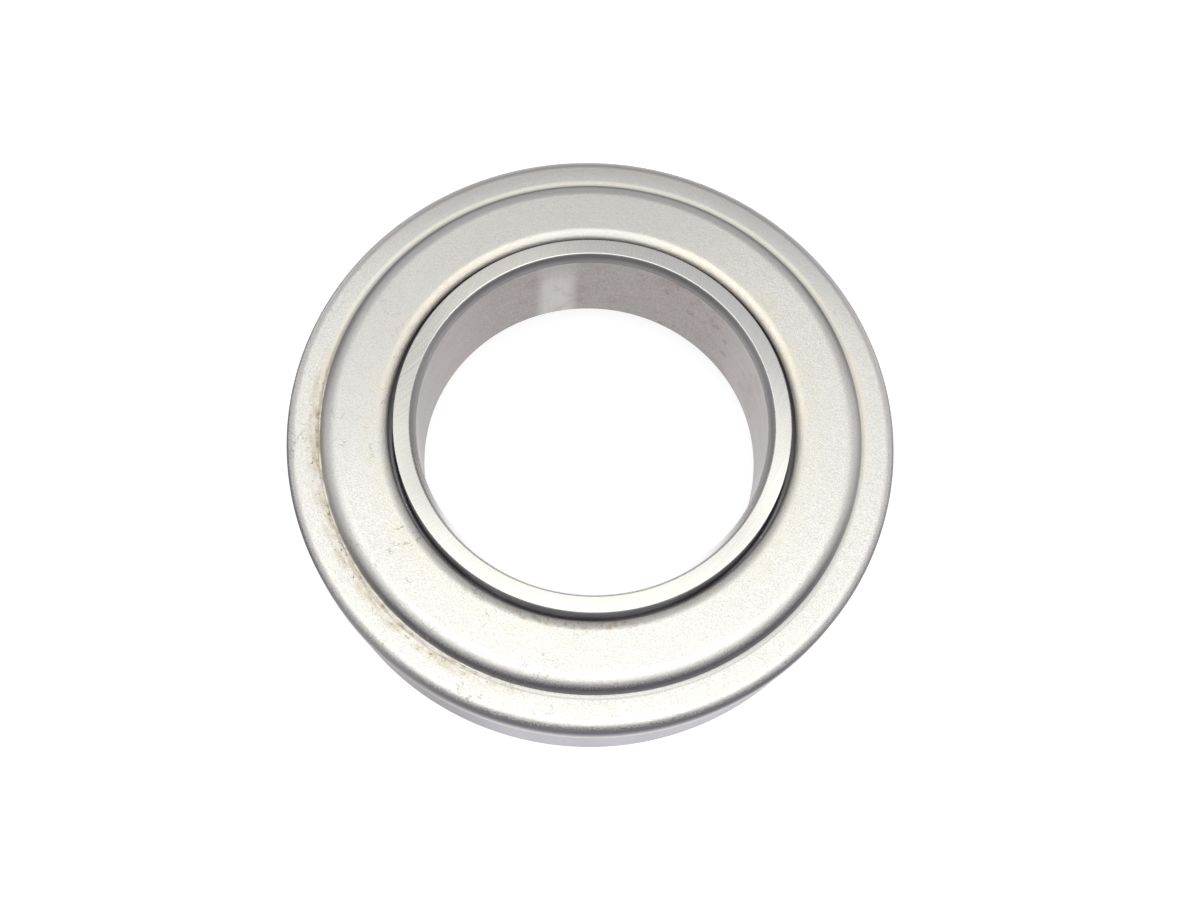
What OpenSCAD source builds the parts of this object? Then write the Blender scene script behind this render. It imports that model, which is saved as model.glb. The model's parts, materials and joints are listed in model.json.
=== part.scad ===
// Clutch release bearing: an angular contact ball bearing under a pressed-steel cover.
// Z is the bearing's axis. Z = 0 is the outer ring's face that the clutch levers press on.
// The inner ring stands still on the release sleeve. The outer ring and the cover turn.

/* [Rings] */
// Bore of the inner ring, which fits the release sleeve
bore_d = 55; // [48:0.5:60]
// Width over everything, from the lever face to the sleeve face
total_w = 25; // [23.5:0.1:30]
// Wall of the inner ring's neck, which stands out of the cover
neck_wall = 3.5; // [2.4:0.1:4]
// Wall of the inner ring below the balls
land_wall = 5.1; // [4.2:0.1:7]
// Wall of the outer ring beside the balls
outer_wall = 5.1; // [4:0.1:8]
// Fillet between the inner ring's neck and its flange
neck_fillet = 0.6; // [0.2:0.1:1]
// Chamfer of the bore, measured across the face
bore_chamfer_w = 1; // [0.4:0.1:1.6]
// Chamfer of the bore, measured along the axis
bore_chamfer_h = 1.35; // [0.4:0.05:2]
// Chamfer round the outer ring's lever face
lever_chamfer = 0.55; // [0.2:0.05:1.5]
// Chamfer at the mouth of the outer ring
mouth_chamfer = 1; // [0.4:0.1:1.8]
// Broken edges of the ground rings
edge_break = 0.2; // [0.1:0.05:0.4]

/* [Balls] */
// Diameter of a ball
ball_d = 9.525; // [8:0.025:10.5]
// Number of balls
ball_count = 18; // [12:1:19]
// Height of the ball centres above the lever face
ball_z = 12; // [11:0.1:13]
// Angle of the line of contact to the radial plane
contact_angle = 40; // [35:1:45]
// Raceway radius as a share of the ball diameter
groove_share = 0.52; // [0.515:0.005:0.54]
// Play between a ball and each raceway
race_play = 0.06; // [0.02:0.01:0.1]
// How far the open side of each raceway laps over the ball
snap_lap = 0.06; // [0.03:0.01:0.12]
// Angle up to which each raceway holds the ball
shoulder_angle = 75; // [65:1:80]

/* [Cage] */
// Thickness of the cage's steel sheet
cage_t = 1.2; // [0.8:0.1:1.6]
// Play of a ball in its window, on the diameter
window_play = 0.3; // [0.1:0.05:0.6]
// Rim left beyond the windows
cage_rim = 1.4; // [1:0.1:1.8]
// Room between the cage and each ring
cage_clear = 0.5; // [0.3:0.05:0.7]

/* [Grease shield] */
// Thickness of the shield's steel sheet
shield_t = 0.7; // [0.4:0.1:1]
// Height of the collar pressed on the inner ring
shield_h = 1.4; // [1.3:0.1:2]
// Inner radius of the shield's bend
shield_bend = 0.2; // [0.1:0.05:0.3]
// Gap between the shield and the outer ring
shield_gap = 0.4; // [0.2:0.05:0.8]
// Gap between the shield and the cage
shield_room = 0.5; // [0.3:0.1:1]

/* [Cover] */
// Thickness of the cover's steel sheet
cover_t = 0.9; // [0.6:0.1:1.2]
// How far the sleeve face stands above the raised ring of the cover
face_stand = 0.8; // [0.3:0.1:1.6]
// Height of the step from the low ring to the raised ring
step_h = 2.6; // [2:0.1:3]
// How far the step stands outside the outer ring's bore
step_over = 0.56; // [0:0.02:1]
// Length of the skirt over the outer ring, from the low ring down
skirt_h = 6; // [4:0.1:9]
// Outer radius of the rim
rim_r = 1.8; // [1.5:0.1:3]
// Outer radius of the shoulder, which runs from the raised ring to the foot of the step
shoulder_r = 3; // [3:0.1:4]
// Outer radius of the lip round the inner ring
lip_r = 2.3; // [1.6:0.1:3]
// Angle through which the lip is turned down
lip_angle = 53; // [40:1:70]
// Gap between the lip and the inner ring's neck
lip_gap = 0.8; // [0.4:0.1:1.4]
// Room between the lip and the inner ring's flange
lip_room = 1.9; // [1:0.1:2.4]
// Width of the coined groove at the foot of the step
foot_groove_w = 1.1; // [0.4:0.1:1.6]
// Depth of the coined groove
foot_groove_d = 0.09; // [0.03:0.01:0.3]
// Room between the rim's inner bend and the outer ring's edge
rim_room = 0.2; // [0.1:0.05:0.5]

/* [Hidden] */
function two_digits(i) = str(i < 10 ? "0" : "", i);
BALL_NAMES = [for (i = [1 : ball_count]) str("ball_", two_digits(i))];
round_fn = 120;
ball_fn = 48;
past = 1;

// Balls and raceways
ball_r = ball_d / 2;
bore_r = bore_d / 2;
neck_r = bore_r + neck_wall;
land_r = bore_r + land_wall;
pitch_r = land_r + ball_r - snap_lap;
groove_r = groove_share * ball_d;
groove_offset = groove_r - ball_r - race_play;
offset_r = groove_offset * cos(contact_angle);
offset_z = groove_offset * sin(contact_angle);
inner_groove = [pitch_r + offset_r, ball_z - offset_z];
outer_groove = [pitch_r - offset_r, ball_z + offset_z];
groove_end_r = groove_r * cos(shoulder_angle);
groove_end_z = groove_r * sin(shoulder_angle);

// Cage, laid square to the line of contact
window_d = ball_d + window_play;
cage_half = window_d / 2 + cage_rim;
cage_bottom_z = ball_z - cage_half * cos(contact_angle) - cage_t / 2 * sin(contact_angle);

// Inner ring and its shield
shield_z = cage_bottom_z - shield_room - shield_h;
inner_end_z = shield_z;
flange_r = inner_groove[0] - groove_end_r;

// Outer ring, whose lever flange clears the cage's cone
outer_bore_r = pitch_r + ball_r - snap_lap;
outer_r = outer_bore_r + outer_wall;
lever_land_z = outer_groove[1] - groove_end_z;
cage_cone_r = pitch_r + (lever_land_z - ball_z) * tan(contact_angle) + cage_t / 2 / cos(contact_angle);
lever_bore_r = cage_cone_r + cage_clear / cos(contact_angle);
shield_r = lever_bore_r - shield_gap;

// Cover
raised_z = total_w - face_stand;
low_z = raised_z - step_h;
skirt_z = low_z - skirt_h;
rim_outer_r = outer_r + cover_t;
step_r = outer_bore_r + step_over;
step_angle = acos(1 - step_h / shoulder_r);
hole_r = neck_r + lip_gap;
lip_centre = [hole_r + lip_r * sin(lip_angle), raised_z - lip_r];
shoulder_centre = [step_r - shoulder_r * sin(step_angle), raised_z - shoulder_r];
rim_centre = [rim_outer_r - rim_r, low_z - rim_r];
lip_z = lip_centre[1] + (lip_r - cover_t) * cos(lip_angle);
flange_z = lip_z - lip_room;
seat_z = low_z - cover_t;
seat_chamfer = rim_r - cover_t + rim_room;

// Turns a section, drawn as radius and height, round the bearing's axis
module turned() {
    rotate_extrude($fn = round_fn) children();
}

// A disc of the section, used for raceways and rounded bends
module disc(centre, r) {
    translate(centre) circle(r, $fn = round_fn);
}

module outer_ring() {
    color("lightslategray") turned() difference() {
        polygon([
            [lever_bore_r + edge_break, 0],
            [outer_r - lever_chamfer, 0],
            [outer_r, lever_chamfer],
            [outer_r, seat_z - seat_chamfer],
            [outer_r - seat_chamfer, seat_z],
            [outer_bore_r + mouth_chamfer, seat_z],
            [outer_bore_r, seat_z - mouth_chamfer],
            [outer_bore_r, ball_z],
            [outer_groove[0], lever_land_z],
            [lever_bore_r + edge_break, lever_land_z],
            [lever_bore_r, lever_land_z - edge_break],
            [lever_bore_r, edge_break]
        ]);
        disc(outer_groove, groove_r);
    }
}

module inner_ring() {
    color("silver") turned() difference() {
        polygon([
            [bore_r + bore_chamfer_w, inner_end_z],
            [land_r - edge_break, inner_end_z],
            [land_r, inner_end_z + edge_break],
            [land_r, ball_z],
            [flange_r, ball_z],
            [flange_r, flange_z - edge_break],
            [flange_r - edge_break, flange_z],
            [neck_r + neck_fillet, flange_z],
            [neck_r, flange_z + neck_fillet],
            [neck_r, total_w - edge_break],
            [neck_r - edge_break, total_w],
            [bore_r + bore_chamfer_w, total_w],
            [bore_r, total_w - bore_chamfer_h],
            [bore_r, inner_end_z + bore_chamfer_h]
        ]);
        disc(inner_groove, groove_r);
        disc([neck_r + neck_fillet, flange_z + neck_fillet], neck_fillet);
    }
}

// A bend of the cover's sheet about a centre, between two angles from the radial direction
module bend(centre, r, from, to) {
    reach = 2 * r;
    middle = (from + to) / 2;
    difference() {
        intersection() {
            disc(centre, r);
            translate(centre) polygon([
                [0, 0],
                reach * [cos(from), sin(from)],
                reach * [cos(middle), sin(middle)],
                reach * [cos(to), sin(to)]
            ]);
        }
        if (r > cover_t) disc(centre, r - cover_t);
    }
}

// The flats and bends of the cover's sheet, from the lip to the end of the skirt
module cover_sheet() {
    bend(lip_centre, lip_r, 90, 90 + lip_angle);
    translate([lip_centre[0], raised_z - cover_t]) square([shoulder_centre[0] - lip_centre[0], cover_t]);
    bend(shoulder_centre, shoulder_r, 90 - step_angle, 90);
    bend([step_r, low_z], cover_t, 270 - step_angle, 270);
    translate([step_r, seat_z]) square([rim_centre[0] - step_r, cover_t]);
    bend(rim_centre, rim_r, 0, 90);
    translate([outer_r, skirt_z]) square([cover_t, rim_centre[1] - skirt_z]);
}

module cover() {
    color("gainsboro") turned() difference() {
        cover_sheet();
        foot_groove();
    }
}

// The shallow coined groove at the foot of the step
module foot_groove() {
    polygon([
        [step_r, low_z - foot_groove_d],
        [step_r + foot_groove_w, low_z],
        [step_r + foot_groove_w, low_z + past],
        [step_r, low_z + past]
    ]);
}

// One sheet cone with a round window for each ball, trimmed to clear both rings
module cage() {
    color("darkgray") difference() {
        turned() intersection() {
            translate([pitch_r, ball_z]) rotate(90 - contact_angle)
                square([2 * cage_half, cage_t], center = true);
            translate([land_r + cage_clear, 0])
                square([outer_bore_r - land_r - 2 * cage_clear, total_w]);
        }
        for (i = [1 : ball_count]) at_ball(i) rotate([0, 90 + contact_angle, 0])
            cylinder(d = window_d, h = ball_d, center = true, $fn = ball_fn);
    }
}

module grease_shield() {
    bend_r = shield_t + shield_bend;
    room = [shield_r, shield_r];
    color("dimgray") turned() translate([land_r, shield_z]) difference() {
        square([shield_r - land_r, shield_h]);
        translate([shield_t, bend_r]) square(room);
        translate([bend_r, shield_t]) square(room);
        disc([bend_r, bend_r], shield_bend);
        difference() {
            translate([-past, -past]) square(bend_r + past);
            disc([bend_r, bend_r], bend_r);
        }
    }
}

// Moves to the centre of one ball
module at_ball(i) {
    rotate(360 * (i - 1) / ball_count) translate([pitch_r, 0, ball_z]) children();
}

module ball(i) {
    color("whitesmoke") at_ball(i) sphere(d = ball_d, $fn = ball_fn);
}

outer_ring();
inner_ring();
cover();
cage();
grease_shield();
for (i = [1 : ball_count]) {
    ball(i);
}
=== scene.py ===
import json
import math

import bmesh
import bpy
from mathutils import Matrix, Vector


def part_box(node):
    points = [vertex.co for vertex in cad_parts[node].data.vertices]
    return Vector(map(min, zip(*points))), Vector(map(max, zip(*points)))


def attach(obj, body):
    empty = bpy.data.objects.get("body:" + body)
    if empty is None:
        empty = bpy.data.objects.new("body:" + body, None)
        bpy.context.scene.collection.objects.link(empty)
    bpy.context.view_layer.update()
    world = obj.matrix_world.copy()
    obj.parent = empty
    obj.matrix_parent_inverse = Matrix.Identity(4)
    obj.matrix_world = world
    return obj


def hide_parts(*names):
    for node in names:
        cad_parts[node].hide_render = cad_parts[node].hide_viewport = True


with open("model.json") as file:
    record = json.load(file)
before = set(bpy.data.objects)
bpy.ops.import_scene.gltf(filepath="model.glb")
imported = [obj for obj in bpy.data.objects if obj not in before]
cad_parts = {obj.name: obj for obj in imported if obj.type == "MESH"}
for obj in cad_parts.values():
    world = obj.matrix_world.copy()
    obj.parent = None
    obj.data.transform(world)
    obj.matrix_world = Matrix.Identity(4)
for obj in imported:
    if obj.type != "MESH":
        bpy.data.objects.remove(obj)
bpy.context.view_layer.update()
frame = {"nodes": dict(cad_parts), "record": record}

# Sizes in metres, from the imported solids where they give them
MM = 0.001


def round_reach(node):
    """Outer radius, lowest and highest point of a node that is round about the bearing's axis."""
    low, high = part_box(node)
    return high.x, low.z, high.z


def mount_radius(name):
    """Radius of a bore that the record lists as a mount."""
    for mount in frame["record"]["mounts"]:
        if mount["name"] == name:
            return mount["dims"]["r_mm"] * MM


rim_r, skirt_end, raised_top = round_reach("cover")
wall_r, lever_face, seat = round_reach("outer_ring")
flange_r, ring_end, sleeve_face = round_reach("inner_ring")
shield_r, shield_bottom, shield_top = round_reach("grease_shield")
ball_low, ball_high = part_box("ball_01")
ball_r = (ball_high.z - ball_low.z) / 2
ball_z = (ball_high.z + ball_low.z) / 2
pitch_r = (ball_high.x + ball_low.x) / 2

bore_r = mount_radius("sleeve_bore")
neck_wall = 3.5 * MM
land_wall = 5.1 * MM
neck_r = bore_r + neck_wall
land_r = bore_r + land_wall
neck_fillet = 0.6 * MM
chamfer_w = 1.0 * MM
chamfer_h = 1.35 * MM
edge_break = 0.2 * MM
fine_break = 0.1 * MM

snap_lap = 0.06 * MM
race_play = 0.06 * MM
contact_angle = math.radians(40)
shoulder_angle = math.radians(75)
groove_share = 0.52
groove_r = groove_share * 2 * ball_r
groove_offset = groove_r - ball_r - race_play
offset_r = groove_offset * math.cos(contact_angle)
offset_z = groove_offset * math.sin(contact_angle)
inner_groove = (pitch_r + offset_r, ball_z - offset_z)
outer_groove = (pitch_r - offset_r, ball_z + offset_z)
outer_bore_r = pitch_r + ball_r - snap_lap
shield_gap = 0.4 * MM
lever_bore_r = shield_r + shield_gap
lever_land_z = outer_groove[1] - groove_r * math.sin(shoulder_angle)
lever_chamfer = 0.55 * MM
mouth_chamfer = 1.0 * MM

sheet = rim_r - wall_r
low_top = seat + sheet
step_over = 0.56 * MM
step_r = outer_bore_r + step_over
step_h = raised_top - low_top
rim_bend = 1.8 * MM
shoulder_bend = 3.0 * MM
lip_bend = 2.3 * MM
lip_angle = 53.0
step_angle = math.degrees(math.acos(1 - step_h / shoulder_bend))
lip_gap = 0.8 * MM
hole_r = neck_r + lip_gap
lip_centre = (hole_r + lip_bend * math.sin(math.radians(lip_angle)), raised_top - lip_bend)
shoulder_run = shoulder_bend * math.sin(math.radians(step_angle))
shoulder_centre = (step_r - shoulder_run, raised_top - shoulder_bend)
rim_centre = (rim_r - rim_bend, low_top - rim_bend)
lip_end_z = lip_centre[1] + (lip_bend - sheet) * math.cos(math.radians(lip_angle))
lip_room = 1.9 * MM
flange_top = lip_end_z - lip_room
rim_room = 0.2 * MM
seat_chamfer = rim_bend - sheet + rim_room
foot_groove_w = 1.1 * MM
foot_groove_d = 0.09 * MM
cut_edge = 0.1 * MM
shield_t = 0.7 * MM
shield_bend = 0.2 * MM

ROUND_STEPS = 256
SAME_PLACE = 1e-6
SMOOTH_BELOW = math.radians(35)
ROUND_PROFILE = 0.5
NOISE_MIDDLE = 0.5


# Turned and pressed pieces

def pick_rings(piece, places):
    """Selects the rings of edges that lie at these radii and heights, and nothing else."""
    bpy.ops.mesh.select_all(action="DESELECT")
    bpy.ops.mesh.select_mode(type="EDGE")
    mesh = bmesh.from_edit_mesh(piece.data)

    def lies_on(vertex, place):
        radius, height = place
        off_r = abs(math.hypot(vertex.co.x, vertex.co.y) - radius)
        return off_r < SAME_PLACE and abs(vertex.co.z - height) < SAME_PLACE

    for edge in mesh.edges:
        if any(all(lies_on(v, place) for v in edge.verts) for place in places):
            edge.select_set(True)
    bmesh.update_edit_mesh(piece.data)


def turned_ring(name, outline):
    """A closed ring, drawn out of a circle from point to point of its section (radius, height)."""
    radius, height = outline[0]
    bpy.ops.object.select_all(action="DESELECT")
    bpy.ops.mesh.primitive_circle_add(vertices=ROUND_STEPS, radius=radius, location=(0, 0, height))
    piece = bpy.context.object
    piece.name = name
    piece.data.name = name
    bpy.ops.object.transform_apply(location=True, rotation=False, scale=False)
    bpy.ops.object.mode_set(mode="EDIT")
    bpy.ops.mesh.select_all(action="SELECT")
    for next_radius, next_height in outline[1:]:
        bpy.ops.mesh.extrude_edges_move(TRANSFORM_OT_translate={"value": (0, 0, next_height - height)})
        grow = next_radius / radius
        bpy.ops.transform.resize(value=(grow, grow, 1), center_override=(0, 0, 0))
        radius, height = next_radius, next_height
    pick_rings(piece, [outline[0], outline[-1]])
    bpy.ops.mesh.bridge_edge_loops()
    bpy.ops.mesh.select_all(action="SELECT")
    bpy.ops.mesh.normals_make_consistent(inside=False)
    return piece


def round_edges(piece, places, radius, segments):
    """Rounds the rings of edges at these places, as a bend or a fillet of that radius."""
    pick_rings(piece, places)
    bpy.ops.mesh.bevel(offset=radius, offset_type="OFFSET", segments=segments,
                       profile=ROUND_PROFILE, affect="EDGES")


def finish_ring(piece, body, node, finish):
    """Smooths the shading, keeps the flats flat, and sets the piece in place of its solid."""
    bpy.ops.mesh.select_all(action="SELECT")
    bpy.ops.mesh.normals_make_consistent(inside=False)
    bpy.ops.object.mode_set(mode="OBJECT")
    bpy.ops.object.shade_smooth_by_angle(angle=SMOOTH_BELOW)
    flats = piece.modifiers.new("flat_faces", "WEIGHTED_NORMAL")
    flats.keep_sharp = True
    bpy.ops.object.modifier_apply(modifier=flats.name)
    piece.data.materials.append(finish)
    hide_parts(node)
    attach(piece, body)


def arc(centre, radius, start, end, steps):
    """Points of an arc of a section from one angle to another, in degrees, about its centre."""
    points = []
    for i in range(steps + 1):
        angle = math.radians(start + (end - start) * i / steps)
        points.append((centre[0] + radius * math.cos(angle), centre[1] + radius * math.sin(angle)))
    return points


def make_cover(finish):
    """The pressed cover: lip, raised ring, shoulder, low ring and skirt, one sheet thick."""
    foot = (step_r, low_top)
    top_side = [
        *arc(lip_centre, lip_bend, 90 + lip_angle, 90, steps=12),
        *arc(shoulder_centre, shoulder_bend, 90, 90 - step_angle, steps=20),
        (step_r, low_top - foot_groove_d),
        (step_r + foot_groove_w, low_top),
        *arc(rim_centre, rim_bend, 90, 0, steps=16),
        (rim_r, skirt_end),
    ]
    under_side = [
        (rim_r - sheet, skirt_end),
        *arc(rim_centre, rim_bend - sheet, 0, 90, steps=8),
        *arc(foot, sheet, 270, 270 - step_angle, steps=8),
        *arc(shoulder_centre, shoulder_bend - sheet, 90 - step_angle, 90, steps=10)[1:],
        *arc(lip_centre, lip_bend - sheet, 90, 90 + lip_angle, steps=8),
    ]
    piece = turned_ring("pressed_cover", top_side + under_side)
    cut_edges = [top_side[0], under_side[-1], top_side[-1], under_side[0]]
    round_edges(piece, cut_edges, cut_edge, segments=2)
    finish_ring(piece, "outer_race", "cover", finish)


def make_inner_ring(finish):
    """The ground inner ring: bore, chamfers, neck, flange and raceway."""
    low_side = math.degrees(math.acos((inner_groove[0] - land_r) / groove_r))
    high_side = math.degrees(shoulder_angle)
    raceway = arc(inner_groove, groove_r, 180 + low_side, 180 - high_side, steps=18)
    piece = turned_ring("ground_inner_ring", [
        (bore_r, ring_end + chamfer_h),
        (bore_r + chamfer_w, ring_end),
        (land_r, ring_end),
        *raceway,
        (flange_r, flange_top),
        (neck_r, flange_top),
        (neck_r, sleeve_face),
        (bore_r + chamfer_w, sleeve_face),
        (bore_r, sleeve_face - chamfer_h),
    ])
    round_edges(piece, [(neck_r, flange_top)], neck_fillet, segments=6)
    outer_edges = [(land_r, ring_end), (flange_r, flange_top), (neck_r, sleeve_face)]
    round_edges(piece, outer_edges, edge_break, segments=2)
    bore_edges = [(bore_r + chamfer_w, sleeve_face), (bore_r + chamfer_w, ring_end)]
    bore_edges += [(bore_r, sleeve_face - chamfer_h), (bore_r, ring_end + chamfer_h)]
    round_edges(piece, bore_edges, fine_break, segments=2)
    finish_ring(piece, "inner_race", "inner_ring", finish)


def make_outer_ring(finish):
    """The ground outer ring: lever face, wall, seat for the cover, mouth and raceway."""
    high_side = math.degrees(math.acos((outer_bore_r - outer_groove[0]) / groove_r))
    low_side = math.degrees(shoulder_angle)
    raceway = arc(outer_groove, groove_r, high_side, -low_side, steps=18)
    piece = turned_ring("ground_outer_ring", [
        (lever_bore_r, lever_face),
        (wall_r - lever_chamfer, lever_face),
        (wall_r, lever_face + lever_chamfer),
        (wall_r, seat - seat_chamfer),
        (wall_r - seat_chamfer, seat),
        (outer_bore_r + mouth_chamfer, seat),
        (outer_bore_r, seat - mouth_chamfer),
        *raceway,
        (lever_bore_r, lever_land_z),
    ])
    lever_edges = [(lever_bore_r, lever_face), (lever_bore_r, lever_land_z)]
    round_edges(piece, lever_edges, edge_break, segments=2)
    chamfer_edges = [(wall_r - lever_chamfer, lever_face), (wall_r, lever_face + lever_chamfer)]
    round_edges(piece, chamfer_edges, fine_break, segments=2)
    finish_ring(piece, "outer_race", "outer_ring", finish)


def make_grease_shield(finish):
    """The pressed shield: a collar on the inner ring and a flat ring bent out of it."""
    piece = turned_ring("pressed_grease_shield", [
        (land_r, shield_top),
        (land_r, shield_bottom),
        (shield_r, shield_bottom),
        (shield_r, shield_bottom + shield_t),
        (land_r + shield_t, shield_bottom + shield_t),
        (land_r + shield_t, shield_top),
    ])
    round_edges(piece, [(land_r, shield_bottom)], shield_bend + shield_t, segments=6)
    round_edges(piece, [(land_r + shield_t, shield_bottom + shield_t)], shield_bend, segments=3)
    cut_edges = [(shield_r, shield_bottom), (shield_r, shield_bottom + shield_t)]
    round_edges(piece, cut_edges, cut_edge, segments=2)
    finish_ring(piece, "inner_race", "grease_shield", finish)


# Finishes, as node materials on Object coordinates. Directions about the axis are in degrees:
# 0 is the right of the photograph, 90 its far side, 180 its left and 270 its near side.

def with_alpha(colour):
    """A colour of three numbers as a socket takes it. A socket stays as it is."""
    return (*colour, 1) if isinstance(colour, tuple) else colour


class Nodes:
    """Adds nodes to one tree, so that a finish reads as arithmetic on shares and colours."""

    def __init__(self, tree):
        self.tree = tree

    def add(self, kind, inputs=None, **settings):
        """A node with its settings, and with each input linked to a socket or set to a value."""
        made = self.tree.nodes.new(kind)
        for key, value in settings.items():
            setattr(made, key, value)
        for key, value in (inputs or {}).items():
            if isinstance(value, bpy.types.NodeSocket):
                self.tree.links.new(value, made.inputs[key])
            else:
                made.inputs[key].default_value = value
        return made

    def sums(self, operation, first, second=0.0):
        """One step of arithmetic on two sockets or numbers."""
        return self.add("ShaderNodeMath", {0: first, 1: second}, operation=operation).outputs[0]

    def times(self, first, *others):
        """The product of several shares."""
        for other in others:
            first = self.sums("MULTIPLY", first, other)
        return first

    def most(self, first, second):
        """The larger of two shares."""
        return self.sums("MAXIMUM", first, second)

    def rest_of(self, share):
        """What a share leaves of one."""
        return self.sums("SUBTRACT", 1.0, share)

    def ease(self, value, start, end, low=0.0, high=1.0):
        """Goes smoothly from low, at the value start, to high, at the value end."""
        limits = {"Value": value, "From Min": start, "From Max": end, "To Min": low, "To Max": high}
        return self.add("ShaderNodeMapRange", limits, interpolation_type="SMOOTHSTEP").outputs[0]

    def band(self, value, low, high, soft):
        """One between low and high, and fading to nought over soft beyond them."""
        rise = self.ease(value, low - soft, low)
        return self.times(rise, self.ease(value, high, high + soft, low=1.0, high=0.0))

    def noise(self, vector, scale, detail=3.0, rough=0.55):
        """Even noise from nought to one, at so many spots to the unit."""
        inputs = {"Vector": vector, "Scale": scale, "Detail": detail, "Roughness": rough}
        return self.add("ShaderNodeTexNoise", inputs).outputs["Fac"]

    # A mix node takes its numbers at the inputs 2 and 3, and its colours at 6 and 7

    def mix(self, share, first, second):
        """From the first number to the second by a share."""
        return self.add("ShaderNodeMix", {0: share, 2: first, 3: second}).outputs[0]

    def coat(self, under, share, over, strength=1.0):
        """One colour over another where the share says, as thick as the strength says."""
        if strength != 1.0:
            share = self.times(share, strength)
        inputs = {0: share, 6: with_alpha(under), 7: with_alpha(over)}
        return self.add("ShaderNodeMix", inputs, data_type="RGBA").outputs[2]

    def vector(self, operation, first, second=(0, 0, 0)):
        """The outputs of one step of arithmetic on two vectors."""
        return self.add("ShaderNodeVectorMath", {0: first, 1: second}, operation=operation).outputs

    def scaled(self, vector, factors):
        """The vector with each of its parts multiplied."""
        return self.vector("MULTIPLY", vector, factors)["Vector"]


class RoundPiece(Nodes):
    """Nodes that know where a point lies: its place, radius, height and direction from the axis."""

    def __init__(self, tree):
        super().__init__(tree)
        self.place = self.add("ShaderNodeTexCoord").outputs["Object"]
        flat = self.scaled(self.place, (1, 1, 0))
        self.radius = self.vector("LENGTH", flat)["Value"]
        self.direction = self.vector("NORMALIZE", flat)["Vector"]
        self.height = self.add("ShaderNodeSeparateXYZ", {0: self.place}).outputs["Z"]

    def spots(self, scale, detail=3.0, rough=0.55):
        """Even noise all over the piece, at so many spots to the metre."""
        return self.noise(self.place, scale, detail, rough)

    def around(self, width_scale, turn_scale):
        """Coordinates for marks that run round the axis: quick across them, slow along them."""
        across = self.times(self.sums("ADD", self.radius, self.height), width_scale)
        upright = self.add("ShaderNodeCombineXYZ", {"Z": across}).outputs[0]
        turn = self.scaled(self.direction, (turn_scale, turn_scale, 0))
        return self.vector("ADD", turn, upright)["Vector"]

    def along(self, degrees, factors):
        """Coordinates turned about the axis and then stretched, for marks that run one way."""
        inputs = {"Vector": self.place, "Rotation": (0, 0, math.radians(degrees))}
        spun = self.add("ShaderNodeMapping", inputs, vector_type="POINT").outputs[0]
        return self.scaled(spun, factors)

    def towards(self, degrees, half_width, soft):
        """One within half_width of a direction from the axis, all in degrees, and fading beyond it."""
        way = (math.cos(math.radians(degrees)), math.sin(math.radians(degrees)), 0)
        outside = math.cos(math.radians(half_width + soft))
        inside = math.cos(math.radians(half_width))
        return self.ease(self.vector("DOT_PRODUCT", self.direction, way)["Value"], outside, inside)

    def ring(self, edge_r, start, end, soft):
        """One between two distances outside an edge, in mm, and fading over soft beyond them."""
        return self.band(self.radius, edge_r + start * MM, edge_r + end * MM, soft * MM)

    def outward(self, edge_r, start, end):
        """From nought to one between two distances outside an edge, in mm."""
        return self.ease(self.radius, edge_r + start * MM, edge_r + end * MM)

    def upward(self, level, start, end, low=0.0, high=1.0):
        """From low to high between two distances above a level, in mm."""
        return self.ease(self.height, level + start * MM, level + end * MM, low, high)


class Steel(RoundPiece):
    """A metal finish: its material, and the nodes that feed its shader."""

    def __init__(self, name):
        self.material = bpy.data.materials.new(name)
        self.material.use_nodes = True
        super().__init__(self.material.node_tree)
        self.shader = self.tree.nodes["Principled BSDF"]
        self.shader.inputs["Metallic"].default_value = 1.0

    def surface(self, colour, rough):
        """Sets the colour and the roughness."""
        self.tree.links.new(colour, self.shader.inputs["Base Color"])
        self.tree.links.new(rough, self.shader.inputs["Roughness"])

    def tint_low_angles(self, tint):
        """Sets the tint of the metal where it is seen at a low angle."""
        self.tree.links.new(tint, self.shader.inputs["Specular Tint"])

    def raise_by(self, relief, depth, strength):
        """Raises the surface by a height pattern."""
        inputs = {"Strength": strength, "Distance": depth, "Height": relief}
        bump = self.add("ShaderNodeBump", inputs)
        self.tree.links.new(bump.outputs[0], self.shader.inputs["Normal"])


# Marks of tumbling, wear and grinding
tumbling_depth = 0.07 * MM
grinding_depth = 0.01 * MM
hair_stretch = (5200, 70, 70)
coarse_share = 0.86

# Colours of the cover: its sheet, painted shade at its far side, a painted highlight and painted shade
# at the foot of the step, painted shade in the bends and at the lip's end, dirt, marks and a painted
# glint
satin_tone = (0.93, 0.92, 0.865)
cloud_tone = (0.89, 0.885, 0.84)
grain_tone = (0.64, 0.63, 0.59)
mottle_tone = (0.72, 0.70, 0.64)
# painted shade at the far side of the low ring, the raised ring and the lip
far_low_shade_tone = (0.59, 0.58, 0.555)
far_raised_shade_tone = (0.60, 0.595, 0.575)
far_lip_shade_tone = (0.52, 0.51, 0.48)

# painted highlight along the foot of the step, tan, and nearly white at the far side
tan_highlight_tone = (0.83, 0.765, 0.64)
far_highlight_tone = (0.99, 0.94, 0.83)
# painted shade in the crease at the foot of the step, near side only
crease_shade_tone = (0.42, 0.41, 0.42)
foot_shade_tone = (0.28, 0.265, 0.245)

# painted shade in the bends of the sheet and on one side of the skirt, also in their tint at low
# angles
far_shoulder_shade_tone = (0.29, 0.28, 0.285)
corner_shade_tone = (0.125, 0.12, 0.14)
rim_shade_tone = (0.145, 0.14, 0.16)
skirt_shade_tone = (0.36, 0.35, 0.345)
plain_tint = (1.0, 1.0, 1.0)
rim_shade_tint = (0.42, 0.41, 0.43)
skirt_shade_tint = (0.52, 0.51, 0.51)

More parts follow.
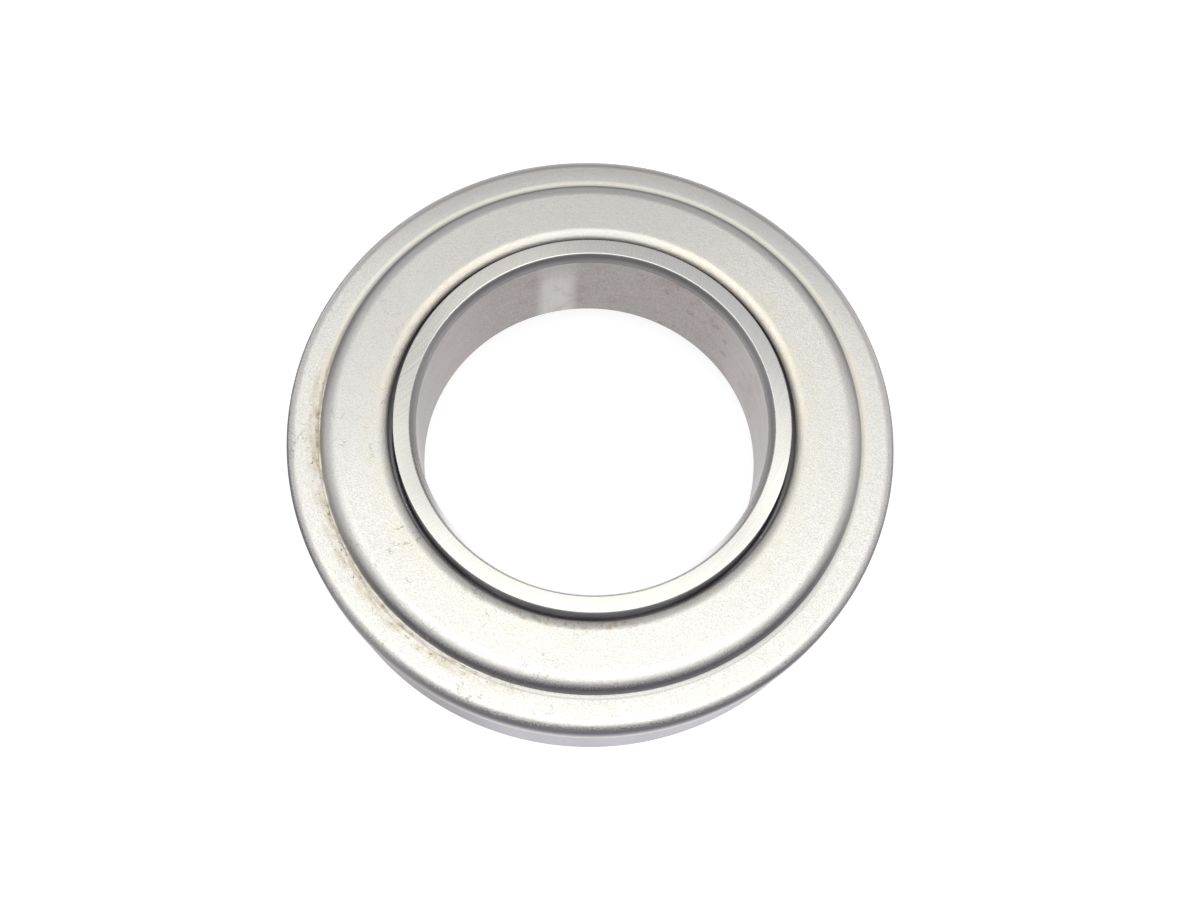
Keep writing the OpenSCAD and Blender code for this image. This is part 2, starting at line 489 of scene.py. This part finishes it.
film_tone = (0.80, 0.73, 0.57)
lip_film_tone = (0.86, 0.78, 0.60)
# painted shade on the lip's end at the near side
lip_end_shade_tone = (0.12, 0.115, 0.125)
lip_rust_tone = (0.50, 0.39, 0.26)

smear_tone = (0.54, 0.46, 0.31)
dirt_tone = (0.27, 0.205, 0.13)
# painted highlight colour of the glints on the cover and the inner ring
glint_tone = (1.0, 0.97, 0.88)
mark_tone = (0.34, 0.32, 0.28)


def hair_scratches(steel, degrees, rarity):
    """Thin straight scratches that run one way, in scattered places."""
    hairs = steel.noise(steel.along(degrees, hair_stretch), 1.0, 1.0)
    streak = steel.ease(hairs, 0.70, 0.74)
    where = steel.ease(steel.spots(85.0, 2.0), rarity, rarity + 0.06)
    return steel.times(streak, where)


def crooked_hairs(steel, scale, width, rarity):
    """Crooked hair lines, broken into short lengths, in scattered places."""
    off_line = steel.sums("ABSOLUTE", steel.sums("SUBTRACT", steel.spots(scale, 2.0), NOISE_MIDDLE))
    line = steel.ease(off_line, width, 0.0)
    lengths = steel.ease(steel.spots(scale * 0.9, 1.0), 0.50, 0.56)
    where = steel.ease(steel.spots(scale * 0.3, 1.0), rarity, rarity + 0.05)
    return steel.times(line, lengths, where)


def cover_marks(steel):
    """Scratches all over the cover, and crooked hairs at its left."""
    scratches = steel.most(hair_scratches(steel, 35, 0.56), hair_scratches(steel, -62, 0.58))
    long_hairs = crooked_hairs(steel, 300, 0.014, 0.54)
    short_hairs = crooked_hairs(steel, 520, 0.020, 0.56)
    hairs = steel.times(steel.most(long_hairs, short_hairs), steel.towards(214, 38, 40))
    return steel.most(steel.times(scratches, 0.5), hairs)


def satin_sheet(steel, grain):
    """The cover's pale sheet, with its clouds, grain and mottling."""
    colour = steel.coat(satin_tone, steel.ease(steel.spots(70, 4.0), 0.35, 0.7), cloud_tone)
    colour = steel.coat(colour, steel.ease(grain, 0.30, 0.70), grain_tone)
    mottle = steel.ease(steel.spots(800, 3.0), 0.40, 0.65, high=0.16)
    return steel.coat(colour, mottle, mottle_tone)


def far_side_shade(steel, colour, low_ring):
    """Painted shade at the far side, on the low ring, the raised ring and the lip."""
    outer_part = steel.ease(steel.radius, step_r + 0.8 * MM, rim_r - 2 * MM, low=0.65)
    # painted shade: the far side is darker
    far_low_shade = steel.times(low_ring, steel.towards(90, 22, 50), outer_part)
    colour = steel.coat(colour, far_low_shade, far_low_shade_tone)
    raised = steel.ease(steel.height, low_top, raised_top)
    far_raised_shade = steel.times(steel.towards(126, 40, 50), raised)
    colour = steel.coat(colour, far_raised_shade, far_raised_shade_tone, strength=0.38)
    far_lip_shade = steel.times(steel.ring(hole_r, 0, 0.9, 0.6), steel.towards(112, 45, 45))
    return steel.coat(colour, far_lip_shade, far_lip_shade_tone, strength=0.6)


def foot_highlight_and_shade(steel, colour, low_ring):
    """The foot of the step: a painted tan highlight line at the far half, painted shade in the crease
    at the near half, and painted shade along the foot.
    """
    far_half = steel.rest_of(steel.towards(272, 62, 40))
    # painted highlight along the foot of the step, away from the near side
    foot_highlight = steel.times(steel.ring(step_r, 0.45, 1.0, 0.35), low_ring, far_half)
    foot_highlight_tone = steel.coat(tan_highlight_tone, steel.towards(100, 45, 30), far_highlight_tone)
    colour = steel.coat(colour, foot_highlight, foot_highlight_tone, strength=0.55)
    # painted shade in the crease at the foot of the step, near side only
    crease_shade = steel.times(steel.ring(step_r, 0.65, 0.72, 0.2), low_ring, steel.towards(274, 40, 34))
    colour = steel.coat(colour, crease_shade, crease_shade_tone, strength=0.45)
    right_foot = steel.times(steel.towards(356, 35, 40), 0.5)
    shaded_side = steel.most(steel.towards(115, 60, 70), right_foot)
    shade = steel.times(steel.ring(step_r, 0, 0.2, 0.6), shaded_side, low_ring)
    return steel.coat(colour, shade, foot_shade_tone, strength=0.65)


def dark_bends(steel, colour, grain):
    """Painted shade in the bends of the sheet, at the step and at the rim, and on one side of the
    skirt, in the colour and in the tint at low angles.
    """
    on_shoulder = steel.band(steel.radius, land_r + 5 * MM, step_r + 0.02 * MM, 0.05 * MM)
    below_top = steel.upward(low_top, 2.5, 1.8)
    # painted shade on the shoulder at the far side
    far_shoulder_shade = steel.times(below_top, on_shoulder, steel.towards(98, 62, 34))
    colour = steel.coat(colour, far_shoulder_shade, far_shoulder_shade_tone, strength=0.9)

    speckle = steel.times(steel.sums("SUBTRACT", grain, NOISE_MIDDLE), 1.6 * MM)
    speckled_height = steel.sums("ADD", steel.height, speckle)
    # painted shade in the corner above the foot of the step, deeper at the near side
    corner_shade = steel.ease(speckled_height, low_top + 2.25 * MM, low_top + 1.2 * MM)
    darker_near = steel.ease(steel.towards(278, 25, 60), 0, 1, low=0.5, high=0.97)
    colour = steel.coat(colour, steel.times(corner_shade, on_shoulder, darker_near), corner_shade_tone)

    # painted shade where the rim turns down, in the colour and in the tint at low angles
    rim_shade = steel.ease(speckled_height, low_top - 0.25 * MM, low_top - 0.85 * MM)
    above_skirt = steel.ease(steel.height, skirt_end - 1.2 * MM, rim_centre[1] + 0.1 * MM)
    darker_rim = steel.most(steel.towards(280, 16, 34), steel.towards(172, 32, 24))
    darker_rim = steel.ease(darker_rim, 0, 1, low=0.80, high=0.94)
    rim_shade = steel.times(rim_shade, above_skirt, steel.outward(step_r, 2, 3), darker_rim)
    colour = steel.coat(colour, rim_shade, rim_shade_tone)
    tint = steel.coat(plain_tint, rim_shade, rim_shade_tint)

    # painted shade on the skirt at the near left
    skirt_shade = steel.times(steel.upward(low_top, -1.2, -2.2), steel.towards(224, 14, 20))
    colour = steel.coat(colour, skirt_shade, skirt_shade_tone, strength=0.5)
    steel.tint_low_angles(steel.coat(tint, skirt_shade, skirt_shade_tint, strength=0.6))
    return colour


def lip_tones(steel, colour):
    """A thin yellow film in patches round the hole, and painted shade on the end of the lip at the
    near side.
    """
    film_sides = steel.most(steel.towards(205, 35, 45), steel.towards(2, 30, 40))
    patches = steel.ease(steel.spots(240, 4.0), 0.35, 0.65)
    film = steel.times(steel.ring(hole_r, 1.2, 3.2, 2.0), film_sides, patches)
    colour = steel.coat(colour, film, film_tone, strength=0.28)
    lip_sides = steel.most(steel.towards(152, 22, 25), steel.towards(40, 24, 25))
    lip_film = steel.times(steel.ring(hole_r, 0.4, 1.6, 0.6), lip_sides)
    colour = steel.coat(colour, lip_film, lip_film_tone, strength=0.3)
    # painted shade on the lip's end at the near side
    lip_end_shade = steel.times(steel.outward(hole_r, 0.45, 0.15), steel.towards(266, 78, 30))
    return steel.coat(colour, lip_end_shade, lip_end_shade_tone, strength=0.45)


def foot_dirt(steel, low_ring):
    """Brown dirt on one side: a broken dark line along the foot of the step, and smears by it."""
    dirty_side = steel.times(steel.towards(215, 32, 18), low_ring)
    drawn = steel.noise(steel.around(1500, 12.0), 1.0, 4.0, 0.65)
    broken = steel.sums("ADD", steel.spots(1100, 5.0, 0.7), drawn)
    line = steel.times(steel.ring(step_r, 0.35, 0.6, 0.3), steel.ease(broken, 0.92, 1.25))
    specks = steel.ease(steel.spots(1700, 3.0, 0.6), 0.63, 0.70)
    specks = steel.times(specks, steel.ring(step_r, 0.5, 1.6, 0.8))
    dirt = steel.times(steel.most(line, specks), dirty_side)
    patches = steel.sums("ADD", steel.spots(390, 5.0, 0.7), drawn)
    by_step = steel.ring(step_r, 0.5, 1.2, 1.4)
    smears = steel.times(steel.ease(patches, 0.78, 1.26), by_step, dirty_side)
    return dirt, smears


def tumbled_cover_steel():
    """Pale satin sheet, tumbled after pressing, with painted shade in its bends and at its far side,
    painted highlights at the foot of the step, and dirt by the step.
    """
    steel = Steel("tumbled_cover_steel")
    grain = steel.spots(4600, 3.0, 0.75)
    low_ring = steel.upward(low_top, 0.3, 0.05)
    colour = satin_sheet(steel, grain)
    colour = far_side_shade(steel, colour, low_ring)
    colour = foot_highlight_and_shade(steel, colour, low_ring)
    colour = dark_bends(steel, colour, grain)
    colour = lip_tones(steel, colour)

    dirt, smears = foot_dirt(steel, low_ring)
    colour = steel.coat(colour, smears, smear_tone, strength=0.8)
    colour = steel.coat(colour, dirt, dirt_tone, strength=0.8)
    # painted highlight along the foot of the step at the near left, broken in places
    glint_breaks = steel.times(steel.ease(steel.spots(420, 3.0), 0.4, 0.6), low_ring)
    foot_glint = steel.times(steel.ring(step_r, 0.08, 0.2, 0.1), glint_breaks, steel.towards(218, 30, 20))
    colour = steel.coat(colour, foot_glint, glint_tone, strength=0.65)
    rust_patches = steel.ease(steel.spots(1000, 4.0), 0.46, 0.66)
    by_lip = steel.ring(hole_r, 0.6, 1.5, 0.5)
    lip_rust = steel.times(by_lip, steel.towards(271, 12, 10), rust_patches)
    colour = steel.coat(colour, lip_rust, lip_rust_tone, strength=0.6)
    marks = cover_marks(steel)
    colour = steel.coat(colour, marks, mark_tone, strength=0.7)

    rough = steel.ease(grain, 0.3, 0.8, low=0.27, high=0.40)
    steel.surface(colour, steel.sums("ADD", rough, steel.times(dirt, 0.3)))
    relief = steel.sums("SUBTRACT", grain, steel.times(marks, 0.2))
    steel.raise_by(relief, tumbling_depth, strength=1.0)
    return steel.material


# Colours of the inner ring: its face, its chamfer, its bore and its neck, with painted light and shade
# on their sides
ground_tone = (0.825, 0.81, 0.765)
ground_line_tone = (0.90, 0.88, 0.83)
face_cloud_tone = (0.83, 0.81, 0.76)
# painted shade on the face at its far, left and near sides
far_face_shade_tone = (0.58, 0.59, 0.60)
left_face_shade_tone = (0.56, 0.54, 0.51)
near_face_shade_tone = (0.46, 0.457, 0.432)

turned_tone = (0.50, 0.49, 0.485)
turned_line_tone = (0.59, 0.58, 0.575)
# painted shade on the chamfer's far side, painted light on its left and near sides
far_chamfer_shade_tone = (0.31, 0.30, 0.295)
left_chamfer_light_tone = (0.76, 0.75, 0.74)
near_chamfer_light_tone = (0.99, 0.985, 0.975)
worn_tone = (0.90, 0.885, 0.875)
edge_shade_tone = (0.38, 0.37, 0.375)

bore_tone = (0.385, 0.355, 0.348)
bore_grain_tone = (0.275, 0.252, 0.246)
# painted highlight streak and painted light at the bore's sides
bore_highlight_tone = (0.66, 0.64, 0.63)
bore_side_light_tone = (0.50, 0.465, 0.455)
bore_rust_tone = (0.20, 0.125, 0.105)
bore_blotch_tone = (0.25, 0.18, 0.175)

# painted shade on the neck and the gap's floor, painted light on their near side and deep down, and
# painted sparkles
neck_shade_tone = (0.46, 0.45, 0.46)
near_neck_light_tone = (0.80, 0.78, 0.81)
deep_neck_light_tone = (0.95, 0.93, 0.96)
gap_floor_shade_tone = (0.42, 0.41, 0.425)
near_floor_light_tone = (0.75, 0.74, 0.76)
sparkle_tone = (1.0, 1.0, 1.0)


def ground_arcs(steel, centre_x, centre_y, fineness):
    """Arcs left by a grinding wheel whose centre lies off the bearing's axis."""
    from_centre = steel.vector("SUBTRACT", steel.place, (centre_x, centre_y, 0))["Vector"]
    reach = steel.vector("LENGTH", steel.scaled(from_centre, (1, 1, 0)))["Value"]
    inputs = {"W": steel.times(reach, fineness), "Scale": 1.0, "Detail": 2.0}
    return steel.add("ShaderNodeTexNoise", inputs, noise_dimensions="1D").outputs["Fac"]


def crossed_arcs(steel):
    """Fine and coarse grinding arcs that cross each other, faint at the far right."""
    fine = ground_arcs(steel, 62 * MM, 18 * MM, 6000)
    coarse = ground_arcs(steel, -58 * MM, 30 * MM, 2600)
    crossed = steel.mix(coarse_share, fine, coarse)
    clear_side = steel.ease(steel.towards(245, 75, 50), 0, 1, low=0.22)
    return steel.mix(clear_side, NOISE_MIDDLE, crossed)


def ground_face(steel, crossed, left_side):
    """The cross-ground face, with painted shade at the far, left and near sides."""
    face = steel.coat(ground_tone, steel.ease(crossed, 0.36, 0.64), ground_line_tone)
    clouds = steel.ease(steel.spots(110, 3.0), 0.4, 0.7, high=0.4)
    face = steel.coat(face, clouds, face_cloud_tone)
    # painted shade at the far, left and near sides
    face = steel.coat(face, steel.towards(60, 26, 30), far_face_shade_tone, strength=0.6)
    face = steel.coat(face, left_side, left_face_shade_tone, strength=0.55)
    return steel.coat(face, steel.towards(268, 55, 25), near_face_shade_tone, strength=0.5)


def turned_chamfer(steel, rounds, left_side, near_side):
    """The turned chamfer, worn pale towards the bore, with painted shade on the far side, painted
    light on the left and the near side, painted shade at its near edge and a painted highlight at its
    edge elsewhere.
    """
    turned = steel.coat(turned_tone, steel.ease(rounds, 0.35, 0.65), turned_line_tone)
    # painted shade on the far side, painted light on the left and the near side
    turned = steel.coat(turned, steel.towards(95, 35, 40), far_chamfer_shade_tone, strength=0.8)
    turned = steel.coat(turned, left_side, left_chamfer_light_tone, strength=0.35)
    turned = steel.coat(turned, steel.outward(bore_r, 0.65, 0), worn_tone, strength=0.7)
    turned = steel.coat(turned, near_side, near_chamfer_light_tone)
    edge_shade = steel.times(steel.outward(bore_r, 0.62, 0.86), near_side)
    turned = steel.coat(turned, edge_shade, edge_shade_tone, strength=0.9)
    # painted highlight along the face's edge, away from the near side, broken in places
    at_edge = steel.band(steel.height, sleeve_face - 0.16 * MM, sleeve_face, 0.06 * MM)
    glint_breaks = steel.ease(steel.spots(900, 2.0), 0.45, 0.6)
    edge_glint = steel.times(at_edge, steel.rest_of(near_side), glint_breaks)
    return steel.coat(turned, edge_glint, glint_tone)


def mauve_bore(steel):
    """The bore: fine grain, a painted highlight streak, painted light at the sides, and rust and
    blotches on the far side.
    """
    grain = steel.spots(3400, 2.0, 0.6)
    bore = steel.coat(bore_tone, steel.ease(grain, 0.30, 0.70), bore_grain_tone)
    upright_lines = steel.noise(steel.scaled(steel.direction, (32, 32, 0)), 1.0, 2.0)
    upright_lines = steel.ease(upright_lines, 0.3, 0.7, low=0.9)
    # painted highlight: an upright streak at the far side
    streak = steel.times(steel.towards(108, 0.5, 8.0), upright_lines)
    low_down = steel.upward(sleeve_face, -2, -9, low=0.18, high=0.6)
    bore = steel.coat(bore, steel.times(streak, low_down), bore_highlight_tone)
    # painted light at the bore's right and left sides
    lit_bore_left = steel.times(steel.towards(178, 20, 30), 0.5)
    lit_bore_sides = steel.most(steel.towards(6, 20, 26), lit_bore_left)
    bore = steel.coat(bore, lit_bore_sides, bore_side_light_tone, strength=0.5)
    rust_spots = steel.ease(steel.spots(460, 3.0, 0.6), 0.59, 0.68)
    rust_spots = steel.times(rust_spots, steel.towards(58, 12, 14))
    bore = steel.coat(bore, rust_spots, bore_rust_tone, strength=0.45)
    blotches = steel.ease(steel.spots(210, 4.0, 0.65), 0.50, 0.66, high=0.3)
    blotches = steel.times(blotches, steel.towards(75, 40, 30))
    return steel.coat(bore, blotches, bore_blotch_tone)


def neck_light_and_shade(steel, near_side):
    """Painted shade on the neck and on the floor of the gap under the lip, painted light on their near
    side and deep down, and a few painted sparkles at the near side.
    """
    # painted shade in the gap, painted light on its near side
    neck = steel.coat(neck_shade_tone, near_side, near_neck_light_tone)
    gap_floor = steel.upward(flange_top, 0.5, 0.2)
    lit_and_shaded_floor_tone = steel.coat(gap_floor_shade_tone, steel.towards(271, 20, 18), near_floor_light_tone)
    neck = steel.coat(neck, gap_floor, lit_and_shaded_floor_tone)
    above_floor = steel.upward(flange_top, 0.4, 0.9)
    deep_neck_light = steel.times(steel.upward(flange_top, 2.2, 1.4), above_floor, steel.towards(270, 52, 22))
    neck = steel.coat(neck, deep_neck_light, deep_neck_light_tone)
    sparkles = steel.times(steel.ease(steel.spots(2200, 1.0), 0.69, 0.73), near_side)
    return steel.coat(neck, sparkles, sparkle_tone)


def ground_ring_steel():
    """Hardened ring steel: cross-ground face, turned chamfer, mauve bore and a neck, with painted
    light and shade on their sides.
    """
    steel = Steel("ground_ring_steel")
    crossed = crossed_arcs(steel)
    rounds = steel.noise(steel.around(5200, 3.0), 1.0, 2.0)
    on_face = steel.upward(sleeve_face, -0.25, -0.1)
    in_bore = steel.outward(bore_r, 0.08, 0.02)
    on_neck = steel.outward(neck_r, -0.15, -0.05)
    left_side = steel.towards(184, 12, 34)
    near_side = steel.towards(268, 40, 50)

    colour = turned_chamfer(steel, rounds, left_side, near_side)
    colour = steel.coat(colour, in_bore, mauve_bore(steel))
    colour = steel.coat(colour, on_neck, neck_light_and_shade(steel, near_side))
    colour = steel.coat(colour, on_face, ground_face(steel, crossed, left_side))

    face_rough = steel.ease(crossed, 0.3, 0.7, low=0.23, high=0.32)
    wall_rough = steel.ease(rounds, 0.3, 0.7, low=0.32, high=0.44)
    polished = steel.times(near_side, steel.rest_of(on_neck))
    wall_rough = steel.sums("SUBTRACT", wall_rough, steel.times(polished, 0.22))
    wall_rough = steel.sums("ADD", wall_rough, steel.times(on_neck, 0.1))
    steel.surface(colour, steel.mix(on_face, wall_rough, face_rough))
    steel.raise_by(steel.mix(on_face, rounds, crossed), grinding_depth, strength=0.2)
    return steel.material


# Colours of the outer ring's wall, with its painted shade
wall_tone = (0.42, 0.415, 0.435)
wall_line_tone = (0.52, 0.51, 0.54)
stain_tone = (0.38, 0.35, 0.33)
# painted shade on the wall: on all but its near right side, and more at its near left, in the colour
# and the tint at low angles
wall_shade_tone = (0.30, 0.295, 0.31)
near_left_wall_shade_tone = (0.265, 0.26, 0.265)
wall_tint = (0.84, 0.83, 0.86)
near_left_wall_shade_tint = (0.66, 0.65, 0.66)


def ground_wall_steel():
    """Ring steel with a round-ground wall, a little lilac, with faint stains, painted shade on all but
    its near right side, and more painted shade at its near left in the colour and the tint at low
    angles.
    """
    steel = Steel("ground_wall_steel")
    rounds = steel.noise(steel.around(4800, 2.5), 1.0, 2.0)
    patches = steel.noise(steel.scaled(steel.direction, (9, 9, 0)), 1.0, 3.0)
    lines = steel.ease(steel.mix(0.4, rounds, patches), 0.36, 0.64)
    stains = steel.ease(steel.spots(160, 4.0), 0.55, 0.75, high=0.35)
    # painted shade on all but the near right side, and more at the near left
    wall_shade_side = steel.rest_of(steel.towards(298, 28, 22))
    near_left_wall_shade = steel.towards(226, 14, 20)
    colour = steel.coat(wall_tone, lines, wall_line_tone)
    colour = steel.coat(colour, stains, stain_tone)
    colour = steel.coat(colour, wall_shade_side, wall_shade_tone, strength=0.55)
    colour = steel.coat(colour, near_left_wall_shade, near_left_wall_shade_tone, strength=0.4)
    steel.surface(colour, steel.ease(rounds, 0.3, 0.7, low=0.24, high=0.36))
    steel.tint_low_angles(steel.coat(wall_tint, near_left_wall_shade, near_left_wall_shade_tint))
    steel.raise_by(rounds, grinding_depth, strength=0.2)
    return steel.material


# Colours of the pieces inside
shield_tone = (0.48, 0.48, 0.47)
shield_grain_tone = (0.58, 0.58, 0.57)
cage_tone = (0.38, 0.37, 0.36)
cage_grain_tone = (0.48, 0.47, 0.46)
oil_tone = (0.20, 0.17, 0.12)
ball_tone = (0.80, 0.80, 0.81)
grease_tone = (0.60, 0.55, 0.45)


def plain_sheet_steel(name, tone, grain_line_tone, oiled_rough, dry_rough):
    """Pressed sheet that no one sees in use: rolled grain and an oil film in patches."""
    steel = Steel(name)
    grain = steel.spots(1800, 3.0)
    film = steel.spots(120, 3.0)
    colour = steel.coat(tone, steel.ease(grain, 0.3, 0.7), grain_line_tone)
    colour = steel.coat(colour, steel.ease(film, 0.5, 0.75, high=0.4), oil_tone)
    steel.surface(colour, steel.ease(film, 0.4, 0.7, low=dry_rough, high=oiled_rough))
    steel.raise_by(grain, grinding_depth, strength=0.15)
    return steel.material


def polished_ball_steel():
    """Lapped balls with a thin, smeared film of grease."""
    steel = Steel("polished_ball_steel")
    smear = steel.spots(380, 4.0)
    colour = steel.coat(ball_tone, steel.ease(smear, 0.5, 0.75, high=0.4), grease_tone)
    steel.surface(colour, steel.ease(smear, 0.4, 0.75, low=0.07, high=0.26))
    return steel.material


def dress(node, finish):
    """Gives a solid that stays in view its finish."""
    slots = frame["nodes"][node].data.materials
    slots.clear()
    slots.append(finish)


make_cover(tumbled_cover_steel())
make_inner_ring(ground_ring_steel())
make_outer_ring(ground_wall_steel())
shield_finish = plain_sheet_steel("dull_shield_steel", shield_tone, shield_grain_tone, 0.34, 0.48)
make_grease_shield(shield_finish)

dress("cage", plain_sheet_steel("oiled_cage_steel", cage_tone, cage_grain_tone, 0.28, 0.46))
ball_finish = polished_ball_steel()
for node in frame["nodes"]:
    if node.startswith("ball_"):
        dress(node, ball_finish)


# Studio: floor, light and camera
table_size = 8.0
table_grey = (0.40, 0.40, 0.40)
table_glow = 0.78
glow_full_r = 0.15
glow_end_r = 0.60
softbox_place = (0.06, -0.44, 0.8)
camera_place = (1.585 * MM, -82.5 * MM, 237.5 * MM)
camera_elevation = math.radians(70.02)
camera_roll = math.radians(6.09)
low_room_tone = (0.95, 0.92, 1.0)
high_room_tone = (1.0, 0.99, 0.98)


def pale_floor():
    """A white table that looks white in the view and in the metal, and keeps the bearing's shadow."""
    bpy.ops.object.select_all(action="DESELECT")
    bpy.ops.mesh.primitive_plane_add(size=table_size, location=(0, 0, 0))
    floor = bpy.context.object
    floor.name = "pale_floor"
    material = bpy.data.materials.new("white_table")
    material.use_nodes = True
    table = RoundPiece(material.node_tree)
    shader = table.tree.nodes["Principled BSDF"]
    shader.inputs["Base Color"].default_value = with_alpha(table_grey)
    shader.inputs["Roughness"].default_value = 1.0
    shader.inputs["Specular IOR Level"].default_value = 0.0
    rays = table.add("ShaderNodeLightPath").outputs
    seen = table.most(rays["Is Camera Ray"], rays["Is Glossy Ray"])
    seen = table.most(seen, rays["Is Transmission Ray"])
    lit = table.ease(table.radius, glow_full_r, glow_end_r, low=table_glow, high=0.0)
    glow = table.add("ShaderNodeEmission", {"Strength": table.times(seen, lit)})
    both = table.add("ShaderNodeAddShader", {0: shader.outputs[0], 1: glow.outputs[0]})
    surface = table.tree.nodes["Material Output"].inputs["Surface"]
    table.tree.links.new(both.outputs[0], surface)
    floor.data.materials.append(material)


def studio_world():
    """A bright room, dimmer towards the horizon and darkest on the camera's side."""
    world = bpy.data.worlds.new("studio_room")
    bpy.context.scene.world = world
    world.use_nodes = True
    room = Nodes(world.node_tree)
    place = room.add("ShaderNodeTexCoord").outputs["Generated"]
    way = room.add("ShaderNodeSeparateXYZ", {0: place}).outputs
    ceiling = room.ease(way["Z"], 0.0, 0.85, low=0.18, high=0.43)
    far_wall = room.ease(way["Y"], -0.7, 0.3, high=0.16)
    side_walls = room.ease(room.sums("ABSOLUTE", way["X"]), 0.35, 0.95, high=0.14)
    light = room.sums("ADD", ceiling, room.sums("ADD", far_wall, side_walls))
    tone = room.coat(low_room_tone, room.ease(way["Z"], 0.3, 0.8), high_room_tone)
    background = room.tree.nodes["Background"]
    room.tree.links.new(light, background.inputs["Strength"])
    room.tree.links.new(tone, background.inputs["Color"])


def overhead_softbox():
    """One wide soft lamp over the table, set towards the camera's side."""
    data = bpy.data.lights.new("overhead_softbox", "AREA")
    data.shape = "RECTANGLE"
    data.size = 1.6
    data.size_y = 1.4
    data.energy = 8.75
    lamp = bpy.data.objects.new("overhead_softbox", data)
    bpy.context.scene.collection.objects.link(lamp)
    lamp.location = softbox_place


def photo_camera():
    """The camera that the rings' edges in the photograph were fitted with."""
    data = bpy.data.cameras.new("photo_camera")
    data.sensor_width = 36
    data.lens = 44.04
    data.clip_start = 0.01
    camera = bpy.data.objects.new("photo_camera", data)
    bpy.context.scene.collection.objects.link(camera)
    tilt = Matrix.Rotation(math.pi / 2 - camera_elevation, 4, "X")
    tilt = tilt @ Matrix.Rotation(camera_roll, 4, "Z")
    camera.matrix_world = Matrix.Translation(camera_place) @ tilt
    bpy.context.scene.camera = camera


pale_floor()
studio_world()
overhead_softbox()
photo_camera()
bpy.context.scene.view_settings.view_transform = "Standard"
